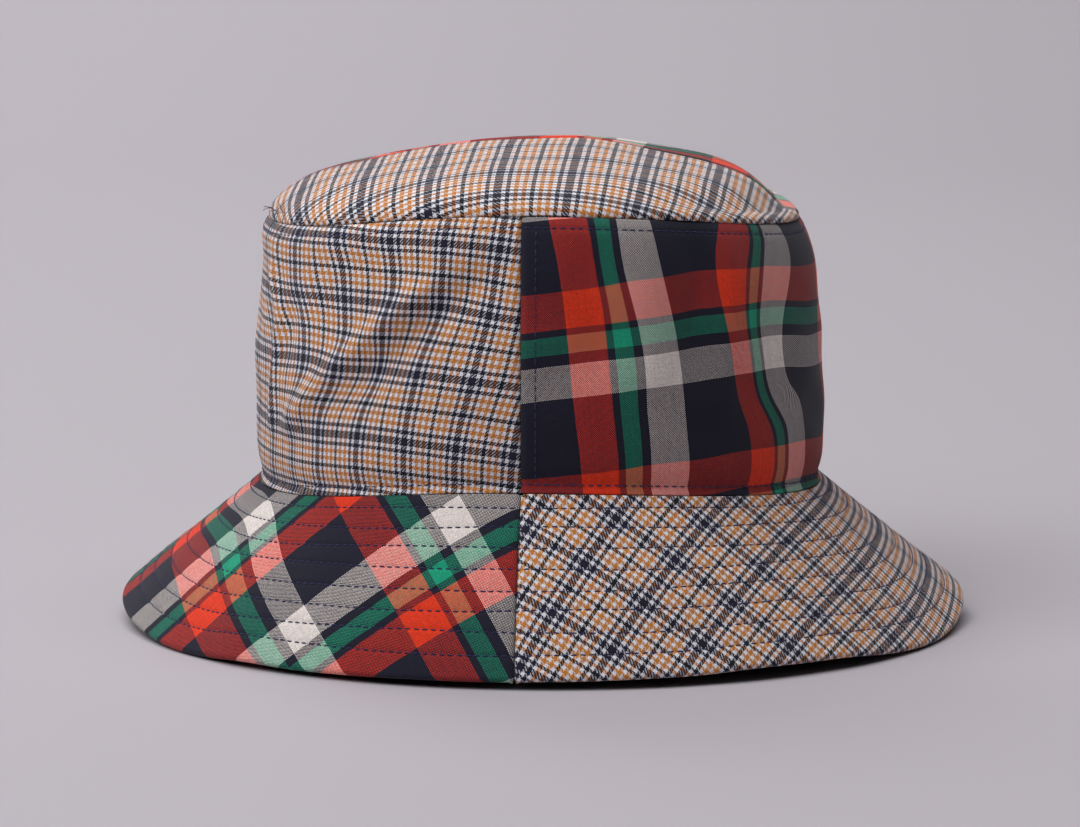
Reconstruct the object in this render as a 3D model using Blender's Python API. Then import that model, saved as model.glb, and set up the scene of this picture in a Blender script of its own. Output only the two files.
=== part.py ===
"""Sewn bucket hat: two-part top, two-part side wall, two-part stitched brim, lining and band.

Metres, +Z up, resting on Z = 0.  X is the long way of the head (front is -X), -Y the wearer's left.
Every cloth layer is a profile spun half round the Z axis, then drawn to the head's oval.
"""
import math

import bmesh
import bpy

MM = 0.001
TURN_STEPS = 56
HALF_STEPS = TURN_STEPS // 2
THREAD_STEPS = 40

# outline of the hat along the X axis, (radius, height) in millimetres
BRIM_EDGE = (144.7, 0.0)
CROWN_BASE = (96.9, 46.3)
TIP_RIM_RADIUS = 89.5
SIDE_LINE = [(96.7, 46.7), (95.8, 49.7), (97.4, 55.9), (97.9, 75.0), (97.1, 103.0),
             (95.9, 118.0), (92.9, 128.5), (89.4, 136.0)]
TIP_LINE = [(89.5, 136.5), (88.2, 140.2), (84.5, 144.3), (76.0, 149.2), (60.0, 154.8),
            (40.0, 159.8), (20.0, 163.2), (0.0, 164.5)]
LINING_LINE = [(95.7, 46.7), (96.9, 58.0), (96.7, 103.0), (92.8, 128.5), (89.4, 136.0)]
LINING_TIP_LINE = [(89.5, 136.5), (84.4, 144.3), (60.0, 154.8), (30.0, 161.7), (0.0, 164.5)]
BRIM_STEPS = 5
LINER_STEPS = 2
BRIM_BULGE = 0.6

# how the round form is drawn to an oval, and how far the crown's seams rise over the ears
OVAL_CROWN = 0.932
OVAL_EDGE = 0.840
EAR_RISE = 10.0

# layers, each given as (outer depth, inner depth) under the outer line, millimetres
OUTER_CLOTH = (0.0, 0.8)
INTERLINING = (1.1, 1.9)
UNDERBRIM = (2.2, 2.8)
LINING = (1.1, 1.6)
SWEATBAND = (1.9, 3.0)
LABEL = (3.3, 3.7)
HEM_HEIGHT = 0.8
LAYER_GAP = 0.3
SEAM_GAP = 0.3
SWEATBAND_TOP = 78.0
SWEATBAND_JOIN_DEG = 0.3
LABEL_SPAN_DEG = 15.0
LABEL_HEIGHTS = (59.0, 71.0)

# thread
THREAD_RADIUS = 0.28
THREAD_LIFT = 0.3
BRIM_ROWS = 8
FIRST_ROW = 0.069
ROW_STEP = 0.1158
BASE_STITCH_Z = 49.7
TIP_STITCH_Z = 132.6
SIDE_STITCH_OFFSET = 4.8
SIDE_STITCH_SPAN = (52.0, 130.0)

COLOURS = {
    "check_cloth": (0.32, 0.26, 0.24, 1.0),
    "madras_cloth": (0.36, 0.12, 0.08, 1.0),
    "underbrim_cloth": (0.012, 0.012, 0.016, 1.0),
    "interlining": (0.55, 0.52, 0.46, 1.0),
    "lining_cloth": (0.02, 0.022, 0.035, 1.0),
    "sweatband_tape": (0.015, 0.015, 0.02, 1.0),
    "thread": (0.012, 0.012, 0.045, 1.0),
    "label_cloth": (0.6, 0.58, 0.54, 1.0),
}


def clear_scene():
    for item in list(bpy.data.objects):
        bpy.data.objects.remove(item, do_unlink=True)


def material(name):
    found = bpy.data.materials.get(name)
    if found:
        return found
    made = bpy.data.materials.new(name)
    made.use_nodes = True
    shader = made.node_tree.nodes["Principled BSDF"]
    shader.inputs["Base Color"].default_value = COLOURS[name]
    shader.inputs["Roughness"].default_value = 0.85
    return made


def brim_line(steps):
    """Outer line of the brim from the crown seam out to the edge, slightly rounded."""
    points = []
    normal = brim_normal()
    for k in range(steps + 1):
        s = k / steps
        swell = BRIM_BULGE * 4.0 * s * (1.0 - s)
        r = CROWN_BASE[0] + (BRIM_EDGE[0] - CROWN_BASE[0]) * s + normal[0] * swell
        z = CROWN_BASE[1] + (BRIM_EDGE[1] - CROWN_BASE[1]) * s + normal[1] * swell
        points.append((r, z))
    return points


def brim_normal():
    run = BRIM_EDGE[0] - CROWN_BASE[0]
    drop = CROWN_BASE[1] - BRIM_EDGE[1]
    length = math.hypot(run, drop)
    return drop / length, run / length


def line_normals(line):
    """Unit normals of a line that runs from outside in and upward, pointing outward."""
    segments = []
    for (r0, z0), (r1, z1) in zip(line, line[1:]):
        length = math.hypot(r1 - r0, z1 - z0)
        segments.append(((z1 - z0) / length, (r0 - r1) / length))
    normals = []
    for k in range(len(line)):
        before = segments[max(k - 1, 0)]
        after = segments[min(k, len(segments) - 1)]
        sum_r = before[0] + after[0]
        sum_z = before[1] + after[1]
        share = (sum_r * sum_r + sum_z * sum_z) / 2.0
        normals.append((sum_r / share, sum_z / share))
    return normals


def sunk(line, depth, closes_on_axis=False):
    """The line moved inward by depth along its normals."""
    moved = []
    for (r, z), (nr, nz) in zip(line, line_normals(line)):
        moved.append([r - nr * depth, z - nz * depth])
    if closes_on_axis:
        moved[-1] = [0.0, line[-1][1] - depth]
    return [tuple(p) for p in moved]


def cut_at_height(line, height):
    """The part of a falling line above a height, with its last point on that height."""
    kept = []
    for (r0, z0), (r1, z1) in zip(line, line[1:]):
        if z0 > height:
            kept.append((r0, z0))
        if z0 > height >= z1:
            part = (z0 - height) / (z0 - z1)
            kept.append((r0 + (r1 - r0) * part, height))
    return kept


def line_between(line, low, high):
    """The part of a rising line between two heights."""
    kept = []
    for (r0, z0), (r1, z1) in zip(line, line[1:]):
        for mark in (low, high):
            if z0 < mark <= z1:
                part = (mark - z0) / (z1 - z0)
                kept.append((r0 + (r1 - r0) * part, mark))
        if low < z1 < high:
            kept.append((r1, z1))
    return sorted(kept, key=lambda p: p[1])


def drawn(x, y, z):
    """Draws a round point to the head's oval; the crown's seams rise over the ears (millimetres)."""
    radius = math.hypot(x, y)
    side = (y / radius) ** 2 if radius > 1e-6 else 0.0
    share = min(1.0, z / CROWN_BASE[1])
    oval = OVAL_EDGE + (OVAL_CROWN - OVAL_EDGE) * share
    rise = EAR_RISE * share * min(1.0, radius / TIP_RIM_RADIUS) ** 2
    return x, y * oval, z + rise * side


def add_object(name, mesh, slot, parts):
    item = bpy.data.objects.new(name, mesh)
    item.data.materials.append(material(slot))
    parts.objects.link(item)
    return item


def spun_layer(name, section, slot, parts, start_deg, sweep_deg, steps, shift=(0.0, 0.0)):
    """A closed section spun round Z from a start angle, drawn to the oval, then moved aside."""
    grid = bmesh.new()
    turn = math.radians(start_deg)
    ring = [grid.verts.new((r * math.cos(turn), r * math.sin(turn), z)) for r, z in section]
    face = grid.faces.new(ring)
    bmesh.ops.spin(grid, geom=[face], cent=(0.0, 0.0, 0.0), axis=(0.0, 0.0, 1.0), dvec=(0.0, 0.0, 0.0),
                   angle=math.radians(sweep_deg), steps=steps, use_duplicate=False)
    bmesh.ops.remove_doubles(grid, verts=grid.verts, dist=1e-4)
    for vert in grid.verts:
        x, y, z = drawn(*vert.co)
        vert.co = ((x + shift[0]) * MM, (y + shift[1]) * MM, z * MM)
    bmesh.ops.recalc_face_normals(grid, faces=grid.faces)
    mesh = bpy.data.meshes.new(name)
    grid.to_mesh(mesh)
    grid.free()
    return add_object(name, mesh, slot, parts)


def thread(name, points, closed, parts):
    """A run of thread through points given in millimetres on the undrawn form."""
    curve = bpy.data.curves.new(name, "CURVE")
    curve.dimensions = "3D"
    curve.bevel_depth = THREAD_RADIUS * MM
    curve.bevel_resolution = 0
    curve.use_fill_caps = not closed
    spline = curve.splines.new("POLY")
    spline.points.add(len(points) - 1)
    for point, place in zip(spline.points, points):
        x, y, z = drawn(*place)
        point.co = (x * MM, y * MM, z * MM, 1.0)
    spline.use_cyclic_u = closed
    item = bpy.data.objects.new(name, curve)
    curve.materials.append(material("thread"))
    parts.objects.link(item)
    return item


def ring_points(r, z, steps):
    turns = [math.tau * k / steps for k in range(steps)]
    return [(r * math.cos(t), r * math.sin(t), z) for t in turns]


def layer_section(line, depths, closes_on_axis=False):
    outer = sunk(line, depths[0], closes_on_axis)
    inner = sunk(line, depths[1], closes_on_axis)
    return outer + inner[::-1]


def halves(stem, section, slot, parts, names=("front", "rear")):
    part = SEAM_GAP / 2.0
    spun_layer(stem + names[0], section, slot[0], parts, 90.0, 180.0, HALF_STEPS, (-part, 0.0))
    spun_layer(stem + names[1], section, slot[1], parts, -90.0, 180.0, HALF_STEPS, (part, 0.0))


def brim_sunk(line, depth):
    """A falling brim line moved under the cloth by depth."""
    return sunk(line[::-1], depth)[::-1]


def build_brim(parts):
    line = brim_line(BRIM_STEPS)
    across = UNDERBRIM[1] / brim_normal()[0]
    inner = cut_at_height(brim_sunk(line, OUTER_CLOTH[1]), HEM_HEIGHT)
    hem_inner = BRIM_EDGE[0] - across
    top = line + [(hem_inner, 0.0), (hem_inner, HEM_HEIGHT)] + inner[::-1]
    halves("brim_top_", top, ("madras_cloth", "check_cloth"), parts)
    floor = HEM_HEIGHT + LAYER_GAP
    liner = brim_line(LINER_STEPS)
    for stem, depths, slot in (("brim_interlining_", INTERLINING, "interlining"),
                               ("underbrim_", UNDERBRIM, "underbrim_cloth")):
        outer = cut_at_height(brim_sunk(liner, depths[0]), floor)
        under = cut_at_height(brim_sunk(liner, depths[1]), floor)
        halves(stem, outer + under[::-1], (slot, slot), parts)


def build_brim_rows(parts):
    line = brim_line(BRIM_STEPS)
    normal = brim_normal()
    lift = THREAD_RADIUS + THREAD_LIFT
    for row in range(BRIM_ROWS):
        s = (FIRST_ROW + ROW_STEP * row) * BRIM_STEPS
        k = int(s)
        part = s - k
        r = line[k][0] + (line[k + 1][0] - line[k][0]) * part + normal[0] * lift
        z = line[k][1] + (line[k + 1][1] - line[k][1]) * part + normal[1] * lift
        thread("brim_stitch_row_%d" % (row + 1), ring_points(r, z, THREAD_STEPS), True, parts)


def build_crown(parts):
    halves("side_panel_", layer_section(SIDE_LINE, OUTER_CLOTH), ("check_cloth", "madras_cloth"), parts)
    halves("lining_side_", layer_section(LINING_LINE, LINING), ("lining_cloth", "lining_cloth"), parts)
    section = layer_section(TIP_LINE, OUTER_CLOTH, True)
    part = SEAM_GAP / 2.0
    spun_layer("tip_left", section, "check_cloth", parts, 180.0, 180.0, HALF_STEPS, (0.0, -part))
    spun_layer("tip_right", section, "madras_cloth", parts, 0.0, 180.0, HALF_STEPS, (0.0, part))


def build_lining_tip(parts):
    """One oval of lining: a closed skin spun all the way round, with poles on the axis."""
    section = layer_section(LINING_TIP_LINE, LINING, True)
    grid = bmesh.new()
    ring = [grid.verts.new((r, 0.0, z)) for r, z in section]
    edges = [grid.edges.new(pair) for pair in zip(ring, ring[1:] + ring[:1])
             if max(pair[0].co.x, pair[1].co.x) > 0.0]
    bmesh.ops.spin(grid, geom=ring + edges, cent=(0.0, 0.0, 0.0), axis=(0.0, 0.0, 1.0),
                   dvec=(0.0, 0.0, 0.0), angle=math.tau, steps=TURN_STEPS, use_duplicate=False)
    bmesh.ops.remove_doubles(grid, verts=grid.verts, dist=1e-4)
    for vert in grid.verts:
        vert.co = [value * MM for value in drawn(*vert.co)]
    bmesh.ops.recalc_face_normals(grid, faces=grid.faces)
    mesh = bpy.data.meshes.new("lining_tip")
    grid.to_mesh(mesh)
    grid.free()
    add_object("lining_tip", mesh, "lining_cloth", parts)


def band_section(depths, low, high):
    outer = line_between(sunk(LINING_LINE, depths[0]), low, high)
    inner = line_between(sunk(LINING_LINE, depths[1]), low, high)
    return outer + inner[::-1]


def build_sweatband(parts):
    low = SIDE_LINE[0][1] + LAYER_GAP
    join = SWEATBAND_JOIN_DEG
    spun_layer("sweatband", band_section(SWEATBAND, low, SWEATBAND_TOP), "sweatband_tape", parts,
               join / 2.0, 360.0 - join, TURN_STEPS)
    spun_layer("size_label", band_section(LABEL, *LABEL_HEIGHTS), "label_cloth", parts,
               -LABEL_SPAN_DEG / 2.0, LABEL_SPAN_DEG, 4)


def build_crown_stitches(parts):
    lift = -(THREAD_RADIUS + THREAD_LIFT)
    line = sunk(SIDE_LINE, lift)
    base = line_between(line, BASE_STITCH_Z, BASE_STITCH_Z + 5.0)[0]
    thread("crown_base_topstitch", ring_points(*base, TURN_STEPS), True, parts)
    top = line_between(line, TIP_STITCH_Z, TIP_STITCH_Z + 1.0)[0]
    thread("tip_topstitch", ring_points(*top, TURN_STEPS), True, parts)
    run = line_between(line, *SIDE_STITCH_SPAN)
    for name, side in (("left", -1.0), ("right", 1.0)):
        points = []
        for r, z in run:
            angle = SIDE_STITCH_OFFSET / r
            points.append((r * math.sin(angle), side * r * math.cos(angle), z))
        thread("side_seam_topstitch_" + name, points, False, parts)


def main():
    clear_scene()
    parts = bpy.data.collections.new("bucket_hat")
    bpy.context.scene.collection.children.link(parts)
    build_brim(parts)
    build_brim_rows(parts)
    build_crown(parts)
    build_lining_tip(parts)
    build_sweatband(parts)
    build_crown_stitches(parts)


main()
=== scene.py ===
"""A sewn bucket hat in a small check and a madras plaid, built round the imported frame.

Lengths in the geometry are millimetres until a mesh is made.  t is the turn angle round Z, 0 at +X
(the wearer's back) and -90 degrees at the wearer's left; w runs along a profile, 0 to 1.
"""

import math

import bmesh
import bpy
import numpy as np
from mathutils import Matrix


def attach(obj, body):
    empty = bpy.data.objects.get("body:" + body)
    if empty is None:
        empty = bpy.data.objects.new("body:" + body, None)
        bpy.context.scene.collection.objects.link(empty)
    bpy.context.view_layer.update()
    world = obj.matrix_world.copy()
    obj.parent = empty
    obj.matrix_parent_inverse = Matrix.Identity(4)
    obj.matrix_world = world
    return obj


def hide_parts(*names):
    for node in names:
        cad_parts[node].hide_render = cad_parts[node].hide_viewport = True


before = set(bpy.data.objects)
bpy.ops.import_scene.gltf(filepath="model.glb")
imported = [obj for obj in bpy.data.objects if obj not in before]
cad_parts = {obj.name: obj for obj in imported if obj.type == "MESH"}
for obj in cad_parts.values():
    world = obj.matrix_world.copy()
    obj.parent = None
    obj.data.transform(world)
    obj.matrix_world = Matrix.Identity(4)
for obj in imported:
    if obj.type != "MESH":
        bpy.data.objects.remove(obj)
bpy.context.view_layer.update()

MM = 0.001
UV_NAME = "cloth"
QUARTER = math.pi / 2.0

# outline, (radius, height) along the X axis
BRIM_BASE = (96.9, 46.3)
BRIM_EDGE = (143.4, 2.5)
WALL_POINTS = [(96.6, 46.5), (95.4, 49.4), (96.6, 52.0), (97.9, 57.5), (98.3, 75.0), (97.6, 103.0),
               (96.6, 119.0), (95.2, 129.0), (93.8, 133.6), (92.0, 136.3), (91.1, 137.0)]
TIP_POINTS = [(0.0, 164.0), (10.0, 163.8), (22.0, 162.8), (41.0, 159.6), (60.0, 155.2), (76.5, 149.8),
              (85.0, 144.9), (89.3, 141.2), (91.2, 138.8), (91.1, 137.1)]
TIP_RADIUS = 89.5
OVAL_CROWN = 0.932
OVAL_EDGE = 0.840
EAR_RISE = 10.2
STANDS_OFF = 2.8

# mean radii, for arc lengths along the wall and the brim
WALL_RADIUS = 93.0
BRIM_RADIUS = 115.0

# cloth
WALL_THICKNESS = 0.8
BRIM_CLOTH_THICKNESS = 0.5
BRIM_THICKNESS = 2.8
LINING_DEPTH = 1.5
BAND_DEPTH = 2.4
SEAM_GAP = 0.0006
LINING_GAP = 0.0004

# stitching
BRIM_ROWS = 8
FIRST_ROW = 0.069
ROW_STEP = 0.1158
BASE_ROW_HEIGHT = 3.0
RIM_ROW_DROP = 4.2
SIDE_ROW_OFFSET = 4.8
STITCH_PITCH = 2.9
STITCH_LENGTH = 2.2
STITCH_LIFT = 0.34
STITCH_SINK = 0.16
THREAD_RADIUS = 0.23
LOOSE_THREAD_RADIUS = 0.10


def rounded(points, rounds=3):
    """A polyline with its corners cut at a quarter of each side, several times, ends kept."""
    line = np.array(points, float)
    for _ in range(rounds):
        cut = np.empty((2 * (len(line) - 1), 2))
        cut[0::2] = line[:-1] * 0.75 + line[1:] * 0.25
        cut[1::2] = line[:-1] * 0.25 + line[1:] * 0.75
        cut[0] = line[0]
        cut[-1] = line[-1]
        line = cut
    return line


def outline(points):
    """A rounded profile as (run from 0 to 1, radius, height, length)."""
    line = rounded(points)
    steps = np.hypot(*np.diff(line, axis=0).T)
    run = np.concatenate([[0.0], np.cumsum(steps)])
    return run / run[-1], line[:, 0], line[:, 1], run[-1]


def along(profile, w):
    """Radius and height of a profile at w."""
    run, radius, height, _ = profile
    return np.interp(w, run, radius), np.interp(w, run, height)


WALL = outline(WALL_POINTS)
TIP = outline(TIP_POINTS)
WALL_HEIGHT = WALL[3]
TIP_REACH = TIP[3]
BRIM_SLANT = math.hypot(BRIM_EDGE[0] - BRIM_BASE[0], BRIM_BASE[1] - BRIM_EDGE[1])


def ear(t):
    """How far the crown's seams rise: 1 over each ear, 0 front and back, broader at the back."""
    power = np.where(np.cos(t) < 0.0, 3.0, 1.8)
    return np.abs(np.sin(t)) ** power


def drawn(radius, t, z, share, fade=1.0):
    """The oval form: Y is drawn in and the height raised over the ears, as the crown's seam asks."""
    oval = OVAL_EDGE + (OVAL_CROWN - OVAL_EDGE) * share
    x = radius * np.cos(t)
    y = radius * oval * np.sin(t)
    return np.stack([x, y, z + STANDS_OFF + EAR_RISE * share * fade * ear(t)], axis=-1)


def bell(value, centre, width):
    """1 at the centre, falling smoothly to nearly nothing two widths away."""
    return np.exp(-(((value - centre) / width) ** 2))


def crease(p, q, start, end, width, depth):
    """A soft ridge (or a valley, for a negative depth) along a line on the cloth, fading at its ends."""
    dp, dq = end[0] - start[0], end[1] - start[1]
    length = math.hypot(dp, dq)
    run = ((p - start[0]) * dp + (q - start[1]) * dq) / length
    side = ((q - start[1]) * dp - (p - start[0]) * dq) / length
    soft = 0.5 * width
    taper = 1.0 / (1.0 + np.exp(-run / soft)) / (1.0 + np.exp((run - length) / soft))
    return depth * bell(side, 0.0, width) * taper


def ripple(p, q, size, wave, seed):
    """Gentle unevenness of cloth: a few plane waves of mixed direction and length."""
    waves = 7
    usual_sum = 2.6
    rng = np.random.default_rng(seed)
    total = np.zeros_like(p, dtype=float)
    for _ in range(waves):
        turn = rng.uniform(0.0, math.pi)
        step = math.tau / (wave * rng.uniform(0.6, 1.7))
        phase = rng.uniform(0.0, math.tau)
        total = total + np.sin((p * math.cos(turn) + q * math.sin(turn)) * step + phase)
    return total * size / usual_sum


def from_seam(t, radius=WALL_RADIUS):
    """Arc length from the left side seam, positive toward the wearer's back."""
    return (t + QUARTER) * radius


def left_turn(t):
    """The same angle counted from -270 to 90 degrees, so it is smooth across the front."""
    return np.where(t > QUARTER + 1e-9, t - math.tau, t)


def facing(t, side, power):
    """1 at the middle of the front or the rear, 0 at both sides and beyond."""
    ahead = -np.cos(t) if side == "front" else np.cos(t)
    return np.clip(ahead, 0.0, 1.0) ** power


def rim_reach(t):
    """How far the rim stands off its oval: out over the brow, drawn in at the back."""
    return 1.5 * facing(t, "front", 1.5) - 2.6 * facing(t, "rear", 1.5)


# folds of the wall: (start, end, width, depth), in (arc from the left seam, height over the brim)
WALL_FOLDS = [((-92.0, 24.0), (-61.0, 47.0), 5.0, 3.0), ((-61.0, 47.0), (-29.0, 70.0), 4.6, 3.2),
              ((-54.0, 36.0), (-14.0, 70.0), 6.0, -2.8), ((-11.0, 76.0), (-15.0, 50.0), 7.0, -1.5),
              ((-114.0, 76.0), (-100.0, 62.0), 4.2, 1.7), ((-100.0, 62.0), (-106.0, 22.0), 4.0, 1.7),
              ((-90.0, 66.0), (-95.0, 46.0), 5.0, -1.4), ((-80.0, 90.0), (-40.0, 88.0), 7.0, 0.8),
              ((38.0, 92.0), (42.0, 30.0), 8.0, 1.2), ((60.0, 88.0), (57.0, 48.0), 6.0, -1.6),
              ((74.0, 84.0), (69.0, 30.0), 6.0, 1.3), ((20.0, 82.0), (26.0, 38.0), 7.0, -0.8),
              ((96.0, 86.0), (90.0, 40.0), 6.0, -0.9), ((170.0, 84.0), (186.0, 30.0), 8.0, 1.2),
              ((-150.0, 80.0), (-140.0, 28.0), 8.0, 1.2)]

# broad hollows of the wall: (side, height over the brim, spread, depth)
WALL_HOLLOWS = [("front", 32.0, 18.0, 1.2), ("rear", 58.0, 34.0, 1.3)]
# the hollow of the brow: (height, spread, depth), and how far below the rim it ends
BROW_HOLLOW = (70.0, 22.0, 2.0)
BROW_FADE = 14.0
RIM_SPREAD = 15.0
# dents: (spread, depth)
WALL_SEAM_DENT = (1.0, 0.9)
RIM_ROW_DENT = (0.7, 0.30)


def wall_form(t, w):
    """The crown's wall: the rounded profile turned to the oval, with its folds and stitched dents."""
    radius, z = along(WALL, w)
    p = from_seam(left_turn(t))
    q = w * WALL_HEIGHT
    push = ripple(p, q, 0.36, 34.0, 5) * bell(w, 0.5, 0.42)
    for side, height, spread, depth in WALL_HOLLOWS:
        push = push - depth * facing(t, side, 2.0) * bell(q, height, spread)
    height, spread, depth = BROW_HOLLOW
    brow = facing(t, "front", 2.0) * np.clip((WALL_HEIGHT - q) / BROW_FADE, 0.0, 1.0)
    push = push - depth * brow * bell(q, height, spread)
    push = push + rim_reach(t) * bell(q, WALL_HEIGHT, RIM_SPREAD)
    for start, end, width, depth in WALL_FOLDS:
        push = push + crease(p, q, start, end, width, depth)
    spread, depth = WALL_SEAM_DENT
    push = push - depth * bell(np.cos(t) * WALL_RADIUS, 0.0, spread)
    spread, depth = RIM_ROW_DENT
    push = push - depth * bell(q, WALL_HEIGHT - RIM_ROW_DROP, spread)
    # the base seam puckers a little between its stitches
    push = push + 0.10 * np.sin(p * 1.1) * bell(q, 2.8, 2.5)
    return drawn(radius + push, t, z, 1.0)


# how far the brim's edge stands off the table beside STANDS_OFF, and how far it reaches out past
# its oval: (degrees round, size, spread)
BRIM_LIFTS = [(-200.0, 6.0, 26.0), (-146.0, -2.2, 14.0), (-118.0, -1.2, 34.0), (-46.0, 1.4, 16.0),
              (-19.0, -3.0, 20.0), (20.0, 6.5, 24.0), (62.0, -3.0, 24.0), (110.0, -2.8, 25.0)]
BRIM_REACHES = [(-188.0, 1.3, 25.0), (8.0, 2.6, 25.0)]
BRIM_PUFF = 0.7
BRIM_OUTWARD = (0.69, 0.72)
ROW_DENT = (0.85, 0.34)
BRIM_SEAM_DENT = (0.9, 0.8)


def round_sum(turn, spots):
    """A smooth value round the hat: the sum of spots (degrees round, size, spread)."""
    degrees = np.degrees(turn)
    total = np.zeros_like(degrees)
    for centre, size, spread in spots:
        total = total + size * bell((degrees - centre + 180.0) % 360.0, 180.0, spread)
    return total


def row_track(turn, k):
    """Where stitch row k runs, as a share of the slant: nearly even, wandering a little."""
    wander = 0.35 * np.sin(turn * 3.0 + 1.7 * k) + 0.25 * np.sin(turn * 7.0 + 2.9 * k)
    return FIRST_ROW + ROW_STEP * k + wander / BRIM_SLANT


def brim_form(t, w):
    """The brim's upper face from the crown seam to the edge, quilted between its stitch rows."""
    turn = left_turn(t)
    share = 1.0 - w
    radius = BRIM_BASE[0] + (BRIM_EDGE[0] - BRIM_BASE[0]) * w
    radius = radius + round_sum(turn, BRIM_REACHES) * w * np.abs(w)
    z = BRIM_EDGE[1] + (BRIM_BASE[1] - BRIM_EDGE[1]) * share
    p = from_seam(turn, BRIM_RADIUS)
    push = BRIM_PUFF * 4.0 * w * (1.0 - w) + ripple(p, w * BRIM_SLANT, 0.25, 30.0, 9) * w
    spread, depth = ROW_DENT
    for k in range(BRIM_ROWS):
        push = push - depth * bell((w - row_track(turn, k)) * BRIM_SLANT, 0.0, spread)
    spread, depth = BRIM_SEAM_DENT
    push = push - depth * bell(np.cos(t) * radius, 0.0, spread)
    lift = round_sum(turn, BRIM_LIFTS) * np.clip(w, 0.0, 2.0) ** 1.5
    out, up = BRIM_OUTWARD
    return drawn(radius + out * push, t, z + up * push + lift, np.clip(share, 0.0, 1.0))


TIP_SEAM_DENT = (1.1, 0.7)
SLACK_START = 24.0


def tip_form(t, w):
    """The top: the puffed profile from the middle out to the rim, its edge rising over the ears."""
    radius, z = along(TIP, w)
    x = radius * np.cos(t)
    y = radius * np.sin(t)
    push = ripple(x, y, 0.5, 46.0, 21) * np.clip(1.05 - w, 0.0, 1.0) ** 0.5
    front = facing(t, "front", 1.5)
    rear = facing(t, "rear", 1.5)
    inside = np.clip((1.0 - w) / 0.10, 0.0, 1.0)
    radius = radius + 0.9 * front * bell(w, 0.93, 0.05) + rim_reach(t) * bell(w, 1.0, 0.16)
    # fuller over the brow, falling away at the back, and a little slack on the wearer's right
    push = push + (2.0 * front * bell(w, 0.80, 0.15) - 4.3 * rear * bell(w, 0.90, 0.11)) * inside
    far = np.clip(y / SLACK_START, 0.0, 1.0)
    push = push - (0.5 + 1.4 * bell(x, -15.0, 40.0)) * far * far * (3.0 - 2.0 * far) * inside
    spread, depth = TIP_SEAM_DENT
    push = push - depth * bell(y, 0.0, spread)
    return drawn(radius, t, z + push, 1.0, np.clip(radius / TIP_RADIUS, 0.0, 1.0) ** 2)


def grid_normals(place):
    """Unit normals of a grid of points, from its two directions."""
    first = np.gradient(place, axis=0)
    second = np.gradient(place, axis=1)
    normal = np.cross(first, second)
    return normal / np.maximum(np.linalg.norm(normal, axis=-1, keepdims=True), 1e-9)


def filled_mesh(name, points, loops, totals):
    """A smooth-shaded mesh from points in millimetres, its faces' corners and their counts."""
    starts = np.concatenate([[0], np.cumsum(totals)[:-1]])
    mesh = bpy.data.meshes.new(name)
    mesh.vertices.add(len(points))
    mesh.vertices.foreach_set("co", (points * MM).astype(np.float32).ravel())
    mesh.loops.add(len(loops))
    mesh.loops.foreach_set("vertex_index", loops.astype(np.int32))
    mesh.polygons.add(len(totals))
    mesh.polygons.foreach_set("loop_start", starts.astype(np.int32))
    mesh.polygons.foreach_set("loop_total", totals.astype(np.int32))
    mesh.polygons.foreach_set("use_smooth", np.ones(len(totals), dtype=bool))
    return mesh


def finished(mesh):
    """The same mesh with its edges made and its faces checked."""
    mesh.update(calc_edges=True)
    mesh.validate()
    return mesh


def grid_mesh(name, place, cloth, flip=False):
    """A mesh of quads over a grid of points, with a UV map holding the flat cloth's millimetres / 1000."""
    n, m = place.shape[:2]
    index = np.arange(n * m).reshape(n, m)
    a = index[:-1, :-1].ravel()
    b = index[1:, :-1].ravel()
    c = index[1:, 1:].ravel()
    d = index[:-1, 1:].ravel()
    quads = np.stack([a, d, c, b] if flip else [a, b, c, d], axis=1)
    mesh = filled_mesh(name, place.reshape(-1, 3), quads.ravel(), np.full(len(quads), 4))
    flat = (cloth.reshape(-1, 2) * MM)[quads.ravel()]
    uv_map = mesh.uv_layers.new(name=UV_NAME)
    uv_map.data.foreach_set("uv", flat.astype(np.float32).ravel())
    return finished(mesh)


def weld(mesh):
    """Joins points that lie on one another, so poles and seams close."""
    work = bmesh.new()
    work.from_mesh(mesh)
    bmesh.ops.remove_doubles(work, verts=work.verts, dist=1e-6)
    work.to_mesh(mesh)
    work.free()
    return mesh


def add_piece(name, mesh, material, nodes, thickness=0.0):
    """Links a piece, gives it a wall growing inward, and ties it to the frame."""
    item = bpy.data.objects.new(name, mesh)
    mesh.materials.append(material)
    bpy.context.scene.collection.objects.link(item)
    if thickness > 0.0:
        wall = item.modifiers.new("wall", "SOLIDIFY")
        wall.thickness = thickness * MM
        wall.offset = -1.0
        wall.use_even_offset = False
    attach(item, "root")
    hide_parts(*nodes)
    return item


def spaced(low, high, count, gather=0.35):
    """Values from low to high, closer together at both ends by the share gather."""
    even = np.linspace(0.0, 1.0, count)
    eased = 0.5 - 0.5 * np.cos(math.pi * even)
    return low + (high - low) * ((1.0 - gather) * even + gather * eased)


def quarter_arc(radius, oval):
    """Arc length of an oval from its +X end, as a table over a quarter turn."""
    t = np.linspace(0.0, QUARTER, 200)
    speed = np.hypot(radius * np.sin(t), radius * oval * np.cos(t))
    run = np.concatenate([[0.0], np.cumsum((speed[1:] + speed[:-1]) / 2.0 * np.diff(t))])
    return t, run


def developed(local, run, end_turn, radius, oval):
    """Flat-pattern place of a point on a cone: the angle round from the panel's middle and the
    distance from the cone's tip.  run is measured up the cloth from the panel's middle height."""
    table, lengths = quarter_arc(radius, oval)
    arc = np.sign(local) * np.interp(np.abs(local), table, lengths)
    far = lengths[-1] / end_turn
    turn = arc / far
    return np.stack([(far - run) * np.sin(turn), far - (far - run) * np.cos(turn)], axis=-1)


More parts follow.
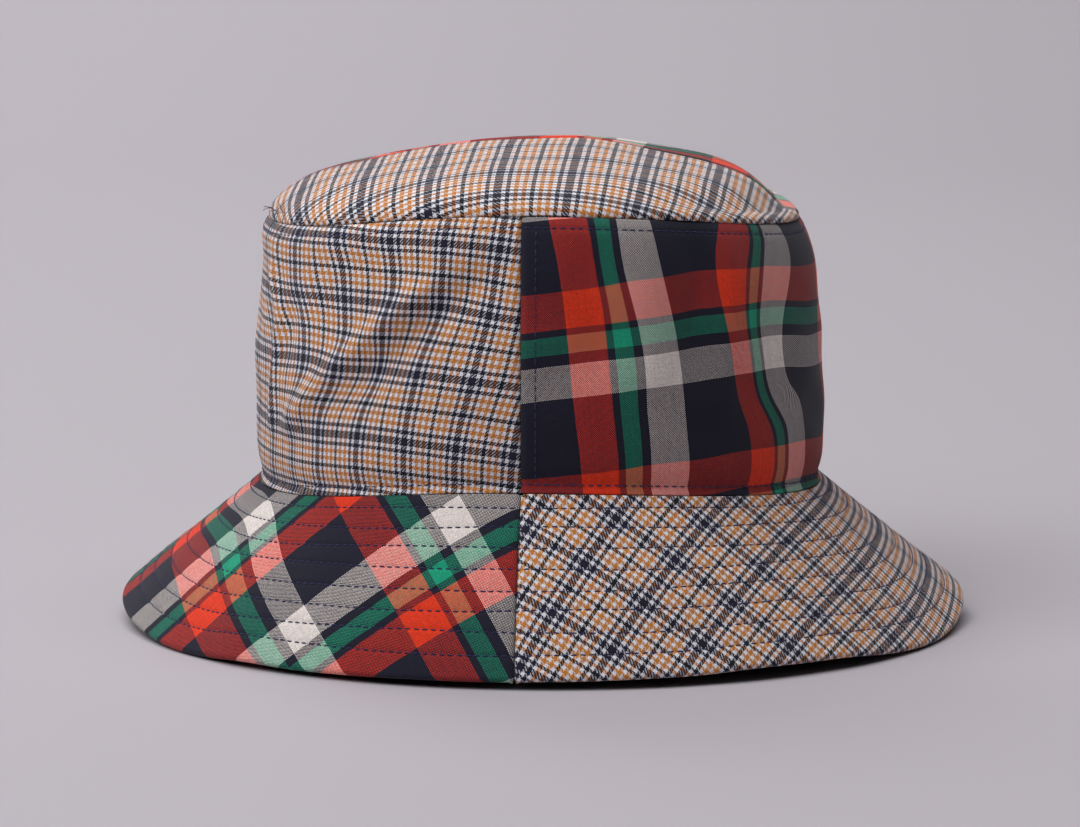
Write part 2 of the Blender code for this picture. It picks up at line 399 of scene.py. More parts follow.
def half_grid(side, w):
    """Grids over the front (-X) or rear (+X) half: angle from the half's middle, turn angle and w."""
    local = spaced(-QUARTER + SEAM_GAP, QUARTER - SEAM_GAP, 320)
    L, W = np.meshgrid(local, w, indexing="ij")
    T = L + math.pi if side == "front" else L
    return L, np.where(T > math.pi, T - math.tau, T), W


def cut_from(cloth, cut):
    """Moves flat-pattern places onto the bolt of cloth they were cut from."""
    return cloth * np.array(cut[0]) + np.array(cut[1])


def drift(p, q, spots):
    """The weave's drift at (p, q), taken smoothly from the nearest of a list of (p, q, along, up)."""
    total = np.full(p.shape, DRIFT_STIFFNESS)
    move = np.zeros(p.shape + (2,))
    for spot_p, spot_q, along_by, up_by in spots:
        near = bell(p, spot_p, DRIFT_REACH) * bell(q, spot_q, DRIFT_REACH)
        total = total + near
        move = move + near[..., None] * np.array([along_by, up_by])
    return move / total[..., None]


# how each piece was cut from its cloth: directions of the stripe order, then its offset in millimetres
WALL_CUT = {"front": ((1.0, 1.0), (-138.95, 3.3)), "rear": ((1.0, -1.0), (137.8, -16.9))}
BRIM_CUT = {"front": ((-1.0, 1.0), (81.5, -49.7)), "rear": ((1.015, 0.966), (3.95, -4.02))}
TIP_CUT = {"left": ((1.01, -0.905), (63.05, 14.66)), "right": ((1.0, 1.0), (0.0, 0.0))}

# half angle of each flat pattern, and the oval its arc lengths are measured on
WALL_TURN = math.radians(7.5)
WALL_FLAT_OVAL = (97.0, OVAL_CROWN)
BRIM_TURN = math.radians(61.8)
BRIM_FLAT_OVAL = (120.6, 0.886)

# how the weave lies askew in the folds: (arc from the left seam, height, threads' drift along and up)
FRONT_DRIFT = [(-69, 93, 0.0, -1.0), (-45, 89, -3.0, 1.0), (-25, 88, -3.0, 0.5),
               (-7, 86, -1.0, 0.0), (-91, 72, 0.5, -1.0), (-62, 71, -8.5, -1.5),
               (-40, 68, -10.5, -1.0), (-27, 66, -3.5, -0.5), (-10, 63, 0.0, 1.0),
               (-121, 74, 9.0, -1.5), (-102, 50, -10.5, -1.5), (-80, 51, -12.5, -3.0),
               (-61, 46, -11.0, 0.0), (-34, 43, 2.0, 0.5), (-15, 40, 2.5, 1.0),
               (-101, 26, -12.0, 0.0), (-74, 23, 1.5, 1.0), (-56, 22, 3.5, 0.5), (-38, 19, 4.0, 1.5),
               (-21, 16, 6.5, 2.5), (-3, 13, 7.5, 2.5), (-124, 50, -7.0, -1.0),
               (-126, 26, -9.0, 0.0), (-145, 76, 5.0, -0.5), (-146, 50, -3.5, -0.5),
               (-149, 26, -5.5, 0.0), (-170, 40, -2.0, 0.0), (-170, 74, 2.0, 0.0)]
REAR_DRIFT = [(13, 71, -1.5, -0.5), (15, 58, -2.0, 0.0), (16, 47, -1.5, 2.0), (16, 33, -1.0, 0.0),
              (19, 7, -1.5, -1.5), (44, 77, 6.0, 1.5), (49, 64, 1.5, 2.0), (53, 52, -1.5, 2.5),
              (53, 39, 0.5, 1.5), (55, 12, 0.0, 0.0), (66, 80, 9.0, 3.0), (65, 68, 11.0, 4.0),
              (68, 56, 9.0, 5.0), (74, 43, 3.5, 3.5), (81, 16, -3.0, 2.0), (113, 80, 2.5, 1.0),
              (102, 70, 13.5, 4.0), (95, 58, 21.5, 5.5), (96, 46, 21.0, 4.5), (114, 18, 3.5, 2.5),
              (9, 95, 0.0, 0.0), (78, 96, -3.5, 0.0), (107, 95, 8.5, 0.0), (120, 40, 9.0, 3.0),
              (124, 58, 11.0, 3.0), (128, 80, 3.0, 1.0), (132, 25, 3.0, 1.0)]
WALL_DRIFT = {"front": FRONT_DRIFT, "rear": REAR_DRIFT}
DRIFT_REACH = 10.5 * 1.4
DRIFT_STIFFNESS = 0.08

# where the front brim's cloth is drawn down beside the crown: (arc, distance out, two spreads, move)
BRIM_DRAW = (-125.0, 5.0, 40.0, 35.0, -9.0)


def build_wall(side, material):
    """One half of the crown's wall."""
    L, T, W = half_grid(side, spaced(0.0, 1.0, 120, 0.25))
    place = wall_form(T, W)
    cloth = developed(L, (W - 1.0) * WALL_HEIGHT, WALL_TURN, *WALL_FLAT_OVAL)
    cloth = cut_from(cloth, WALL_CUT[side])
    cloth = cloth + drift(from_seam(left_turn(T)), W * WALL_HEIGHT, WALL_DRIFT[side])
    name = "wall_" + side
    add_piece(name, grid_mesh(name, place, cloth), material, ["side_panel_" + side], WALL_THICKNESS)


def hem(place, normal):
    """Rows of points that roll under the brim's edge and run back along the table, and how far each
    lies past the edge."""
    bends = 7
    returns = 4
    return_step = 1.2
    radius = BRIM_THICKNESS / 2.0
    outward = place[:, -1] - place[:, -2]
    outward = outward / np.linalg.norm(outward, axis=1, keepdims=True)
    rows = []
    runs = []
    for step in range(1, bends + 1):
        angle = math.pi * step / bends
        move = outward * math.sin(angle) * radius + normal[:, -1] * (1.0 - math.cos(angle)) * radius
        rows.append(place[:, -1] + move)
        runs.append(angle * radius)
    for step in range(1, returns + 1):
        rows.append(rows[bends - 1] - outward * return_step * step)
        runs.append(math.pi * radius + return_step * step)
    return np.stack(rows, axis=1), np.array(runs)


def build_brim_top(side, material):
    """The brim's upper cloth; past the edge it rolls under and runs back along the table."""
    L, T, W = half_grid(side, np.linspace(0.0, 1.0, 132))
    place = brim_form(T, W)
    rows, runs = hem(place, grid_normals(place))
    place = np.concatenate([place, rows], axis=1)
    W = np.concatenate([W, np.tile(runs / BRIM_SLANT + 1.0, (len(W), 1))], axis=1)
    L = np.concatenate([L, np.tile(L[:, :1], (1, len(runs)))], axis=1)
    T = np.concatenate([T, np.tile(T[:, :1], (1, len(runs)))], axis=1)
    cloth = developed(L, (0.5 - W) * BRIM_SLANT, BRIM_TURN, *BRIM_FLAT_OVAL)
    arc, out, arc_spread, out_spread, move = BRIM_DRAW
    near = bell(from_seam(left_turn(T), BRIM_RADIUS), arc, arc_spread)
    near = near * bell(W * BRIM_SLANT, out, out_spread)
    cloth[..., 1] = cloth[..., 1] + move * near
    cloth = cut_from(cloth, BRIM_CUT[side])
    name = "brim_" + side
    mesh = grid_mesh(name, place, cloth, flip=True)
    add_piece(name, mesh, material, ["brim_top_" + side], BRIM_CLOTH_THICKNESS)


# the top's cloth: its pattern's shortening across, its lean, and the gap between its halves
TIP_SHORTENING = 0.95
TIP_LEAN = 0.085
TIP_LEAN_CENTRE = 10.0
TIP_HALF_GAP = 0.06


def build_tip(side, material):
    """One half of the crown's top, the seam between them running front to back."""
    low = -math.pi if side == "left" else 0.0
    t = spaced(low + SEAM_GAP, low + math.pi - SEAM_GAP, 300, 0.5)
    w = spaced(0.0, 1.0, 100, 0.3)
    T, W = np.meshgrid(t, w, indexing="ij")
    place = tip_form(T, W)
    place[..., 1] = place[..., 1] + (TIP_HALF_GAP if side == "right" else -TIP_HALF_GAP)
    across = W * np.cos(T) * TIP_REACH
    ahead = W * np.sin(T) * TIP_REACH * TIP_SHORTENING
    cloth = np.stack([ahead - TIP_LEAN * (across - TIP_LEAN_CENTRE), across], axis=-1)
    name = "top_" + side
    mesh = weld(grid_mesh(name, place, cut_from(cloth, TIP_CUT[side]), flip=True))
    add_piece(name, mesh, material, ["tip_" + side], WALL_THICKNESS)


LAYER_FLAT = (95.0, 90.0)


def layer(name, form, ends, w_ends, depth, counts, material, nodes, thickness):
    """A lining or other hidden cloth, offset inward from a form by depth."""
    t = np.linspace(ends[0], ends[1], counts[0])
    w = np.linspace(w_ends[0], w_ends[1], counts[1])
    T, W = np.meshgrid(t, w, indexing="ij")
    place = form(np.where(T > math.pi, T - math.tau, T), W)
    normal = grid_normals(place)
    flip = form is brim_form
    if flip:
        normal = -normal
    place = place - normal * depth
    cloth = np.stack([T * LAYER_FLAT[0], W * LAYER_FLAT[1]], axis=-1)
    return add_piece(name, grid_mesh(name, place, cloth, flip), material, nodes, thickness)


# ---------------------------------------------------------------- stitches


def dashes(place, normal, seed):
    """Short thread tubes laid along a line on the cloth: each rises out of its hole and dips back.
    Returns the tubes' points (count, rings, sides, 3)."""
    rng = np.random.default_rng(seed)
    steps = np.linalg.norm(np.diff(place, axis=0), axis=1)
    run = np.concatenate([[0.0], np.cumsum(steps)])
    count = int(run[-1] / STITCH_PITCH)
    middle = (np.arange(count) + 0.5) * run[-1] / count + rng.normal(0.0, 0.08, count)
    share = np.linspace(-1.0, 1.0, 5)
    dip = share ** 4
    at = middle[:, None] + share[None, :] * STITCH_LENGTH / 2.0
    centre = np.stack([np.interp(at, run, place[:, k]) for k in range(3)], axis=-1)
    up = np.stack([np.interp(at, run, normal[:, k]) for k in range(3)], axis=-1)
    tilt = rng.normal(0.0, 0.06, count)[:, None, None] * share[None, :, None]
    side = np.cross(np.gradient(centre, axis=1), up)
    side = side / np.linalg.norm(side, axis=-1, keepdims=True)
    rise = STITCH_LIFT * (1.0 - dip) - STITCH_SINK
    centre = centre + up * rise[None, :, None] + side * tilt
    return swept(centre, up, THREAD_RADIUS * (1.0 - 0.45 * dip))


def swept(centre, up, thick):
    """Five-sided tubes along many centre lines (count, rings, 3), with a radius for each ring."""
    up = up / np.linalg.norm(up, axis=-1, keepdims=True)
    ahead = np.gradient(centre, axis=1)
    side = np.cross(ahead, up)
    side = side / np.linalg.norm(side, axis=-1, keepdims=True)
    turn = np.arange(5) * math.tau / 5.0
    ring = np.cos(turn)[None, None, :, None] * side[:, :, None, :]
    ring = ring + np.sin(turn)[None, None, :, None] * up[:, :, None, :]
    return centre[:, :, None, :] + ring * thick[None, :, None, None]


def loose_ends(count, seed):
    """A few thread ends standing out of the rim seam at the wearer's front left."""
    rng = np.random.default_rng(seed)
    t = rng.uniform(-2.98, -2.70, count)
    place, normal = on_form(tip_form, t, np.full(count, 0.965))
    normal = normal * np.sign(normal[:, 2:] + 1e-9)
    lean = rng.normal(0.0, 0.45, (count, 3))
    reach = rng.uniform(2.2, 5.0, count)
    share = np.linspace(0.0, 1.0, 5)
    line = normal[:, None, :] * share[None, :, None] + lean[:, None, :] * (share ** 2)[None, :, None]
    centre = place[:, None, :] + (line - 0.06 * normal[:, None, :]) * reach[:, None, None]
    up = np.broadcast_to(np.array([0.3, -1.0, 0.2]), centre.shape)
    return swept(centre, up, np.full(5, LOOSE_THREAD_RADIUS))


def tube_mesh(name, tubes):
    """One mesh of closed tubes: quads round each tube and a flat cap at each end."""
    count, rings, sides = tubes.shape[:3]
    index = np.arange(count * rings * sides).reshape(count, rings, sides)
    after = np.roll(index, -1, axis=2)
    quads = np.stack([index[:, :-1], after[:, :-1], after[:, 1:], index[:, 1:]], axis=-1).reshape(-1, 4)
    caps = np.concatenate([index[:, 0, ::-1], index[:, -1]])
    loops = np.concatenate([quads.ravel(), caps.ravel()])
    totals = np.concatenate([np.full(len(quads), 4), np.full(len(caps), sides)])
    return finished(filled_mesh(name, tubes.reshape(-1, 3), loops, totals))


def on_form(form, t, w, outward=1.0):
    """Points and outward normals of a form along a line given by t and w."""
    e = 1e-3
    place = form(t, w)
    one = form(t + e, w) - form(t - e, w)
    two = form(t, w + e) - form(t, w - e)
    normal = np.cross(one, two) * outward
    return place, normal / np.linalg.norm(normal, axis=1, keepdims=True)


def add_stitches(name, tubes, thread, node):
    """One piece of thread tubes, in place of one row of the frame."""
    add_piece(name, tube_mesh(name, tubes), thread, [node])


def round_stitches(form, level, seed, outward=1.0):
    """Stitches all the way round at a level of a form, which may vary with the turn."""
    t = np.linspace(-math.pi * 1.5, QUARTER, 2400)
    t = np.where(t < -math.pi, t + math.tau, t)
    w = level(left_turn(t)) if callable(level) else np.full_like(t, level)
    place, normal = on_form(form, t, w, outward)
    return dashes(place, normal, seed)


def build_stitches(thread):
    """The brim's rows, the rows over the base seam and under the rim, and one beside each side seam."""
    for k in range(BRIM_ROWS):
        tubes = round_stitches(brim_form, lambda t, k=k: row_track(t, k), 40 + k, -1.0)
        add_stitches("brim_row_%d" % (k + 1), tubes, thread, "brim_stitch_row_%d" % (k + 1))
    tubes = round_stitches(wall_form, BASE_ROW_HEIGHT / WALL_HEIGHT, 60)
    add_stitches("base_row", tubes, thread, "crown_base_topstitch")
    tubes = round_stitches(wall_form, 1.0 - RIM_ROW_DROP / WALL_HEIGHT, 61)
    add_stitches("rim_row", np.concatenate([tubes, loose_ends(9, 4)]), thread, "tip_topstitch")
    for name, side in (("left", -1.0), ("right", 1.0)):
        w = np.linspace(0.045, 0.945, 400)
        t = side * (QUARTER - SIDE_ROW_OFFSET / along(WALL, w)[0])
        place, normal = on_form(wall_form, t, w)
        add_stitches("side_row_" + name, dashes(place, normal, 70), thread, "side_seam_topstitch_" + name)


# ---------------------------------------------------------------- materials


def srgb(r, g, b):
    """A display colour, 0 to 255, as linear values."""
    out = []
    for value in (r, g, b):
        v = value / 255.0
        out.append(v / 12.92 if v <= 0.04045 else ((v + 0.055) / 1.055) ** 2.4)
    return (*out, 1.0)


# the check: (threads, colour) over one repeat, the same both ways, and millimetres to a thread
NAVY = srgb(31, 28, 50)
BLACK = srgb(22, 22, 27)
WHITE = srgb(241, 241, 249)
OCHRE = srgb(208, 132, 52)
CHECK_ORDER = [(8, NAVY), (4, WHITE), (4, NAVY), (4, WHITE), (4, OCHRE), (4, WHITE), (4, OCHRE),
               (4, WHITE), (4, BLACK), (4, WHITE), (4, OCHRE), (4, WHITE), (4, OCHRE), (4, WHITE),
               (4, NAVY), (4, WHITE)]
CHECK_PITCH = (0.312, 0.318)

# the madras
RED = srgb(244, 62, 28)
GREEN = srgb(26, 168, 130)
CREAM = srgb(243, 233, 227)
INK = srgb(27, 27, 46)
MADRAS_WARP = [(36, RED), (6, INK), (19, GREEN), (9, INK), (38, CREAM), (68, INK)]
MADRAS_WEFT = [(38, RED), (7, INK), (18, GREEN), (10, INK), (32, CREAM), (71, INK)]
MADRAS_PITCH = (0.380, 0.338)


# how far the threads wander, how round they are (which also sets the painted shade toward each thread's
# edges) and how unevenly they take the dye
SWAY_THREADS = 1.1
THREAD_ROUNDNESS = 3.2
THREAD_VARIATION = 0.08
FIBRE_VARIATION = 0.15
SLUB_VARIATION = 0.15

CLOTH_ROUGHNESS = 0.86
CLOTH_SHEEN = 0.12
CLOTH_SPECULAR = 0.25
GRAIN_SCALE = 1400.0
GRAIN_VARIATION = 0.25


def calc(tree, operation, *values):
    """A Math node; sockets are linked and numbers are set."""
    node = tree.nodes.new("ShaderNodeMath")
    node.operation = operation
    for socket, value in zip(node.inputs, values):
        if isinstance(value, (int, float)):
            socket.default_value = value
        else:
            tree.links.new(value, socket)
    return node.outputs[0]


def stripe_ramp(tree, order, position):
    """A ColorRamp with hard edges that gives each thread of one repeat its colour."""
    ramp = tree.nodes.new("ShaderNodeValToRGB")
    ramp.color_ramp.interpolation = "CONSTANT"
    total = sum(count for count, _ in order)
    start = 0
    for k, (count, colour) in enumerate(order):
        if k < 2:
            stop = ramp.color_ramp.elements[k]
            stop.position = start / total
        else:
            stop = ramp.color_ramp.elements.new(start / total)
        stop.color = colour
        start += count
    tree.links.new(position, ramp.inputs[0])
    return ramp.outputs[0]


def blend(tree, factor, first, second, mode="MIX"):
    """A colour Mix node; sockets are linked and a number sets the factor."""
    node = tree.nodes.new("ShaderNodeMix")
    node.data_type = "RGBA"
    node.blend_type = mode
    for socket, value in ((node.inputs[0], factor), (node.inputs[6], first), (node.inputs[7], second)):
        if isinstance(value, (int, float)):
            socket.default_value = value
        else:
            tree.links.new(value, socket)
    return node.outputs[2]


def around_one(tree, value, spread):
    """A value from 0 to 1 as a factor about 1, spread either way."""
    return calc(tree, "MULTIPLY_ADD", value, 2.0 * spread, 1.0 - spread)


def shaded(tree, colour, light):
    """A colour times a grey level."""
    grey = tree.nodes.new("ShaderNodeCombineColor")
    for socket in grey.inputs:
        tree.links.new(light, socket)
    return blend(tree, 1.0, colour, grey.outputs[0], "MULTIPLY")


def either(tree, over, first, under, second):
    """The first value where the warp floats over, the second where it runs under."""
    return calc(tree, "ADD", calc(tree, "MULTIPLY", over, first), calc(tree, "MULTIPLY", under, second))


def thread_colour(tree, order, index, seed):
    """Colour of the thread with this index, each thread a shade lighter or darker."""
    total = sum(count for count, _ in order)
    wrapped = calc(tree, "FLOORED_MODULO", index, float(total))
    place = calc(tree, "DIVIDE", calc(tree, "ADD", wrapped, 0.5), float(total))
    colour = stripe_ramp(tree, order, place)
    noise = tree.nodes.new("ShaderNodeTexWhiteNoise")
    noise.noise_dimensions = "1D"
    tree.links.new(calc(tree, "ADD", index, seed), noise.inputs["W"])
    return shaded(tree, colour, around_one(tree, noise.outputs["Value"], THREAD_VARIATION))


def brightness(tree, colour):
    """How light a colour is."""
    node = tree.nodes.new("ShaderNodeRGBToBW")
    tree.links.new(colour, node.inputs[0])
    return node.outputs[0]


def weave_group(name, orders, pitch, twill, pale_warp, pale_weft):
    """A woven cloth: warp and weft, each in its stripe order, crossing over and under.

    Takes the cloth's flat place and a twill hand; gives its colour, with painted shade toward the threads'
    edges and in the gaps between them, and its thread height."""
    tree = bpy.data.node_groups.new(name, "ShaderNodeTree")
    tree.interface.new_socket("Cloth", in_out="INPUT", socket_type="NodeSocketVector")
    hand = tree.interface.new_socket("Hand", in_out="INPUT", socket_type="NodeSocketFloat")
    hand.default_value = 1.0
    tree.interface.new_socket("Color", in_out="OUTPUT", socket_type="NodeSocketColor")
    tree.interface.new_socket("Height", in_out="OUTPUT", socket_type="NodeSocketFloat")
    start = tree.nodes.new("NodeGroupInput")
    end = tree.nodes.new("NodeGroupOutput")

    wave = tree.nodes.new("ShaderNodeTexNoise")
    wave.inputs["Scale"].default_value = 110.0
    wave.inputs["Detail"].default_value = 3.0
    tree.links.new(start.outputs["Cloth"], wave.inputs["Vector"])
    parts = tree.nodes.new("ShaderNodeSeparateXYZ")
    tree.links.new(start.outputs["Cloth"], parts.inputs[0])
    sway = tree.nodes.new("ShaderNodeSeparateColor")
    tree.links.new(wave.outputs["Color"], sway.inputs[0])

    whole = []
    part = []
    for axis in (0, 1):
        threads = calc(tree, "MULTIPLY", parts.outputs[axis], 1000.0 / pitch[axis])
        moved = calc(tree, "MULTIPLY_ADD", sway.outputs[axis], SWAY_THREADS, threads)
        whole.append(calc(tree, "FLOOR", moved))
        part.append(calc(tree, "FRACT", moved))

    warp = thread_colour(tree, orders[0], whole[0], 0.5)
    weft = thread_colour(tree, orders[1], whole[1], 700.5)
    turned = calc(tree, "MULTIPLY", whole[1], start.outputs["Hand"])
    step = calc(tree, "FLOORED_MODULO", calc(tree, "ADD", whole[0], turned), 4.0 if twill else 2.0)
    over = calc(tree, "LESS_THAN", step, 1.5 if twill else 0.5)

    across = []
    for axis in (0, 1):
        across.append(calc(tree, "ABSOLUTE", calc(tree, "SUBTRACT", part[axis], 0.5)))
    under = calc(tree, "SUBTRACT", 1.0, over)
    from_middle = either(tree, over, across[0], under, across[1])
    # painted shade, partly: a pale thread is drawn thinner where it floats over a dark one, so the dark
    # thread beneath shows in the gaps and is widened further to stand for the shade between threads
    warp_pale = calc(tree, "GREATER_THAN", brightness(tree, warp), brightness(tree, weft))
    weft_pale = calc(tree, "SUBTRACT", 1.0, warp_pale)
    pale_over = either(tree, over, warp_pale, under, weft_pale)
    reach = calc(tree, "MULTIPLY_ADD", over, pale_warp - pale_weft, pale_weft)
    beyond = calc(tree, "MULTIPLY", pale_over, calc(tree, "GREATER_THAN", from_middle, reach))
    shows_warp = calc(tree, "ABSOLUTE", calc(tree, "SUBTRACT", over, beyond))
    colour = blend(tree, shows_warp, weft, warp)
    fall = calc(tree, "MULTIPLY", calc(tree, "MULTIPLY", from_middle, from_middle), THREAD_ROUNDNESS)
    bulge = calc(tree, "SUBTRACT", 1.0, fall)
    fibre = tree.nodes.new("ShaderNodeTexNoise")
    fibre.inputs["Scale"].default_value = 2600.0
    fibre.inputs["Detail"].default_value = 2.0
    tree.links.new(start.outputs["Cloth"], fibre.inputs["Vector"])
    fuzz = around_one(tree, fibre.outputs[0], FIBRE_VARIATION)
    cell = tree.nodes.new("ShaderNodeCombineXYZ")
    for axis in (0, 1):
        tree.links.new(whole[axis], cell.inputs[axis])
    slub = tree.nodes.new("ShaderNodeTexWhiteNoise")
    slub.noise_dimensions = "2D"
    tree.links.new(cell.outputs[0], slub.inputs["Vector"])
    uneven = around_one(tree, slub.outputs["Value"], SLUB_VARIATION)
    # painted shade: each thread's colour darkens toward its edges, where the gaps between threads lie in
    # shade; times the fibre and slub unevenness of the yarn
    light = calc(tree, "MULTIPLY", calc(tree, "MULTIPLY_ADD", bulge, 0.55, 0.50), fuzz)
    light = calc(tree, "MULTIPLY", light, uneven)
    tree.links.new(shaded(tree, colour, light), end.inputs["Color"])
    tree.links.new(bulge, end.inputs["Height"])
    return tree


def soft_shader(name, roughness, sheen):
    """A new material, its node tree and its shader, rough and slightly furry."""
    made = bpy.data.materials.new(name)
    made.use_nodes = True
    shader = made.node_tree.nodes["Principled BSDF"]
    shader.inputs["Roughness"].default_value = roughness
    shader.inputs["Sheen Weight"].default_value = sheen
    shader.inputs["Specular IOR Level"].default_value = CLOTH_SPECULAR
    return made, made.node_tree, shader


def add_bump(tree, shader, height, strength, distance):
    """Small relief on a shader's surface."""
    bump = tree.nodes.new("ShaderNodeBump")
    bump.inputs["Strength"].default_value = strength
    bump.inputs["Distance"].default_value = distance
    tree.links.new(height, bump.inputs["Height"])
    tree.links.new(bump.outputs[0], shader.inputs["Normal"])


def cloth_material(name, group, hand):
    """A woven material: the group's colour and thread height, its twill running by the hand."""
    made, tree, shader = soft_shader(name, CLOTH_ROUGHNESS, CLOTH_SHEEN)
    shader.inputs["Sheen Roughness"].default_value = 0.5
    place = tree.nodes.new("ShaderNodeUVMap")
    place.uv_map = UV_NAME
    weave = tree.nodes.new("ShaderNodeGroup")
    weave.node_tree = group
    weave.inputs["Hand"].default_value = hand
    tree.links.new(place.outputs[0], weave.inputs["Cloth"])
    tree.links.new(weave.outputs["Color"], shader.inputs["Base Color"])
    add_bump(tree, shader, weave.outputs["Height"], 0.35, 0.12 * MM)
    return made


def plain_material(name, colour, roughness, sheen=0.1):
    """A plain cloth: one colour with a fine fibre grain."""
    made, tree, shader = soft_shader(name, roughness, sheen)
    place = tree.nodes.new("ShaderNodeTexCoord")
    noise = tree.nodes.new("ShaderNodeTexNoise")
    noise.inputs["Scale"].default_value = GRAIN_SCALE
    noise.inputs["Detail"].default_value = 3.0
    tree.links.new(place.outputs["Object"], noise.inputs["Vector"])
    light = around_one(tree, noise.outputs[0], GRAIN_VARIATION)
    tint = tree.nodes.new("ShaderNodeRGB")
    tint.outputs[0].default_value = colour
    tree.links.new(shaded(tree, tint.outputs[0], light), shader.inputs["Base Color"])
    add_bump(tree, shader, noise.outputs[0], 0.3, 0.1 * MM)
    return made


# ---------------------------------------------------------------- the object


def build_hat():
    """Makes the cloths and every piece of the hat."""
    check = weave_group("check_weave", (CHECK_ORDER, CHECK_ORDER), CHECK_PITCH, True, 0.21, 0.21)
    madras = weave_group("madras_weave", (MADRAS_WARP, MADRAS_WEFT), MADRAS_PITCH, False, 0.34, 0.27)
    check_cloth = cloth_material("check_cloth", check, -1.0)
    madras_cloth = cloth_material("madras_cloth", madras, 1.0)
    black = plain_material("underbrim_cloth", srgb(16, 16, 19), 0.9)
    canvas = plain_material("interlining", srgb(196, 188, 172), 0.95)
    lining = plain_material("lining_cloth", srgb(26, 28, 42), 0.7)
    tape = plain_material("sweatband_tape", srgb(22, 22, 26), 0.8)
    thread = plain_material("thread", srgb(36, 38, 84), 0.6, 0.2)
    tab = plain_material("label_cloth", srgb(205, 200, 190), 0.85)

    build_wall("front", check_cloth)
    build_wall("rear", madras_cloth)
    build_brim_top("front", madras_cloth)
    build_brim_top("rear", check_cloth)
    build_tip("left", check_cloth)
    build_tip("right", madras_cloth)
    build_stitches(thread)

    halves = {"front": (QUARTER + LINING_GAP, 3 * QUARTER - LINING_GAP),
              "rear": (-QUARTER + LINING_GAP, QUARTER - LINING_GAP)}
    for side, ends in halves.items():
        layer("interlining_" + side, brim_form, ends, (0.0, 0.985), 1.0, (160, 40), canvas,
              ["brim_interlining_" + side], 0.6)
        layer("underbrim_" + side, brim_form, ends, (-0.05, 0.972), 1.9, (160, 60), black,
              ["underbrim_" + side], 0.5)
        layer("lining_" + side, wall_form, ends, (0.0, 0.995), LINING_DEPTH, (180, 60), lining,
              ["lining_side_" + side], 0.4)
    layer("sweatband", wall_form, (SEAM_GAP, math.tau - SEAM_GAP), (0.0, 0.36), BAND_DEPTH, (300, 24), tape,
          ["sweatband"], 1.0)
    layer("label", wall_form, (-0.13, 0.13), (0.12, 0.26), BAND_DEPTH + 1.5, (16, 6), tab,
          ["size_label"], 0.4)
    build_tip_lining(lining)


def build_tip_lining(material):
    """The lining of the top: the top's own form, a little smaller and lower."""
    t = np.linspace(-math.pi, math.pi, 181)
    w = np.linspace(0.0, 1.0, 50)
    T, W = np.meshgrid(t, w, indexing="ij")
    smaller = np.array([0.985, 0.985, 1.0])
    lower = np.array([0.0, 0.0, 2.0])
    place = tip_form(T, W) * smaller - lower
    cloth = np.stack([W * np.cos(T) * TIP_RADIUS, W * np.sin(T) * TIP_RADIUS], axis=-1)
    mesh = weld(grid_mesh("lining_top", place, cloth, flip=True))
    add_piece("lining_top", mesh, material, ["lining_tip"], 0.4)


# ---------------------------------------------------------------- stage


SWEEP_HALF_WIDTH = 4000.0
SWEEP_COLOUR = srgb(187, 181, 188)


def build_stage():
    """A pale seamless sweep: a table that curves up into the wall behind."""
    near = -2500.0
    bend_start = 1300.0
    bend_radius = 1400.0
    top = 5000.0
    x = np.linspace(-SWEEP_HALF_WIDTH, SWEEP_HALF_WIDTH, 9)
    bend = np.linspace(0.0, QUARTER, 24)
    y = np.concatenate([[near], bend_start + bend_radius * np.sin(bend), [bend_start + bend_radius]])
    z = np.concatenate([[0.0], bend_radius - bend_radius * np.cos(bend), [top]])
    X, Y = np.meshgrid(x, y, indexing="ij")
    Z = np.meshgrid(x, z, indexing="ij")[1]
    place = np.stack([X, Y, Z], axis=-1)
    mesh = grid_mesh("sweep", place, place[..., :2])
    floor = bpy.data.objects.new("sweep", mesh)
    bpy.context.scene.collection.objects.link(floor)
    paint = bpy.data.materials.new("sweep")
    paint.use_nodes = True
    shader = paint.node_tree.nodes["Principled BSDF"]
    shader.inputs["Base Color"].default_value = SWEEP_COLOUR
    shader.inputs["Roughness"].default_value = 0.75
    shader.inputs["Specular IOR Level"].default_value = 0.2
    mesh.materials.append(paint)


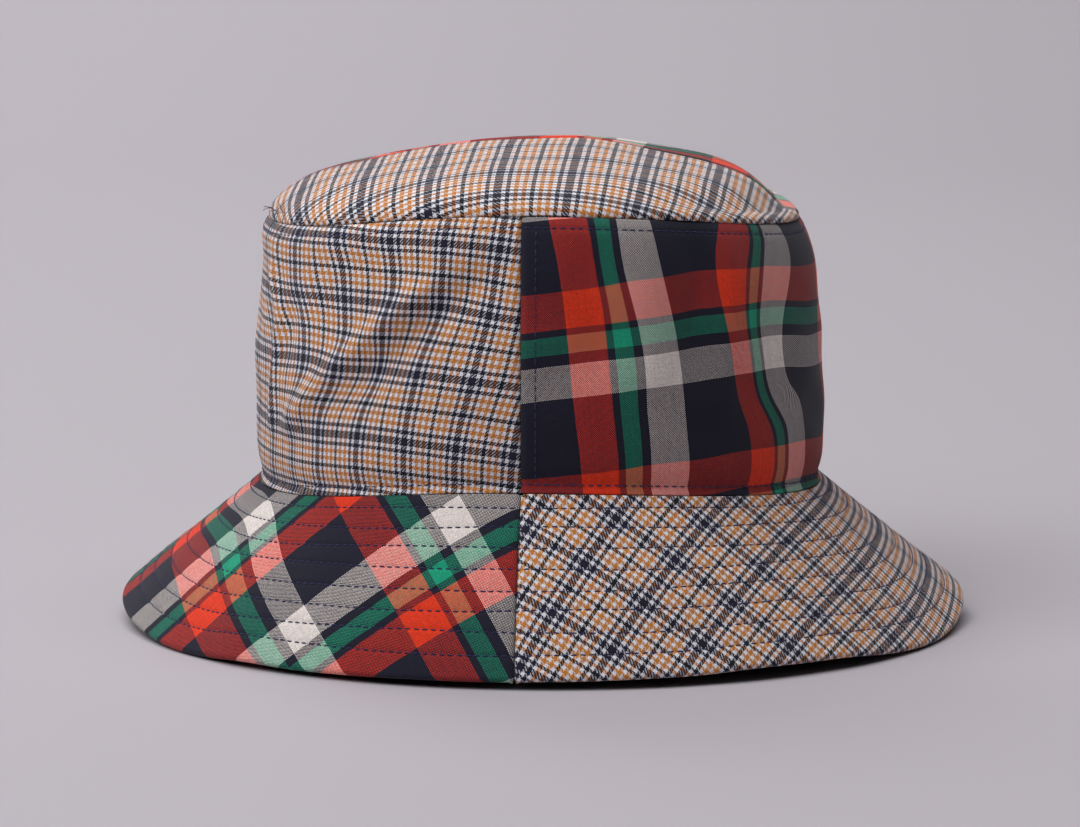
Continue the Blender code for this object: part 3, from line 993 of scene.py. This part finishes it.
def point_at(item, aim):
    """Turns a light or a camera toward a place."""
    direction = np.array(aim, float) - np.array(item.location)
    flat = math.hypot(direction[0], direction[1])
    item.rotation_euler = (math.atan2(flat, -direction[2]), 0.0, math.atan2(-direction[0], direction[1]))


def add_light(name, place, aim, size, power):
    """A rectangular soft light."""
    data = bpy.data.lights.new(name, "AREA")
    data.shape = "RECTANGLE"
    data.size, data.size_y = size
    data.energy = power
    item = bpy.data.objects.new(name, data)
    bpy.context.scene.collection.objects.link(item)
    item.location = place
    point_at(item, aim)


# (name, place, aim, size, watts), in metres
LIGHTS = [("key", (-1.27, -1.03, 2.05), (0.0, 0.0, 0.05), (2.0, 2.0), 45.0),
          ("top", (0.2, -0.2, 2.2), (0.0, 0.0, 0.0), (2.0, 2.0), 22.0),
          ("back", (-1.0, 1.7, 1.9), (-0.4, 2.3, 0.0), (2.4, 1.2), 26.0)]
SKY_COLOUR = (0.86, 0.86, 0.9, 1.0)
SKY_STRENGTH = 0.04


def build_light():
    """The soft lights and a faint even sky."""
    for light in LIGHTS:
        add_light(*light)
    world = bpy.data.worlds.new("studio")
    world.use_nodes = True
    sky = world.node_tree.nodes["Background"]
    sky.inputs[0].default_value = SKY_COLOUR
    sky.inputs[1].default_value = SKY_STRENGTH
    bpy.context.scene.world = world


CAMERA_TURN = math.radians(4.0)
CAMERA_DISTANCE = 1.7
CAMERA_HEIGHT = 0.3578
AIM_HEIGHT = 0.0708


def build_camera():
    """A long lens a little above the brim, and a plain view of the colours."""
    data = bpy.data.cameras.new("camera")
    data.sensor_width = 36.0
    data.lens = 166.7
    data.clip_end = 30.0
    item = bpy.data.objects.new("camera", data)
    bpy.context.scene.collection.objects.link(item)
    side = CAMERA_DISTANCE * math.sin(CAMERA_TURN)
    item.location = (side, -CAMERA_DISTANCE * math.cos(CAMERA_TURN), CAMERA_HEIGHT)
    point_at(item, (0.0, 0.0, AIM_HEIGHT))
    bpy.context.scene.view_settings.view_transform = "Standard"
    bpy.context.scene.camera = item


build_hat()
build_stage()
build_light()
build_camera()
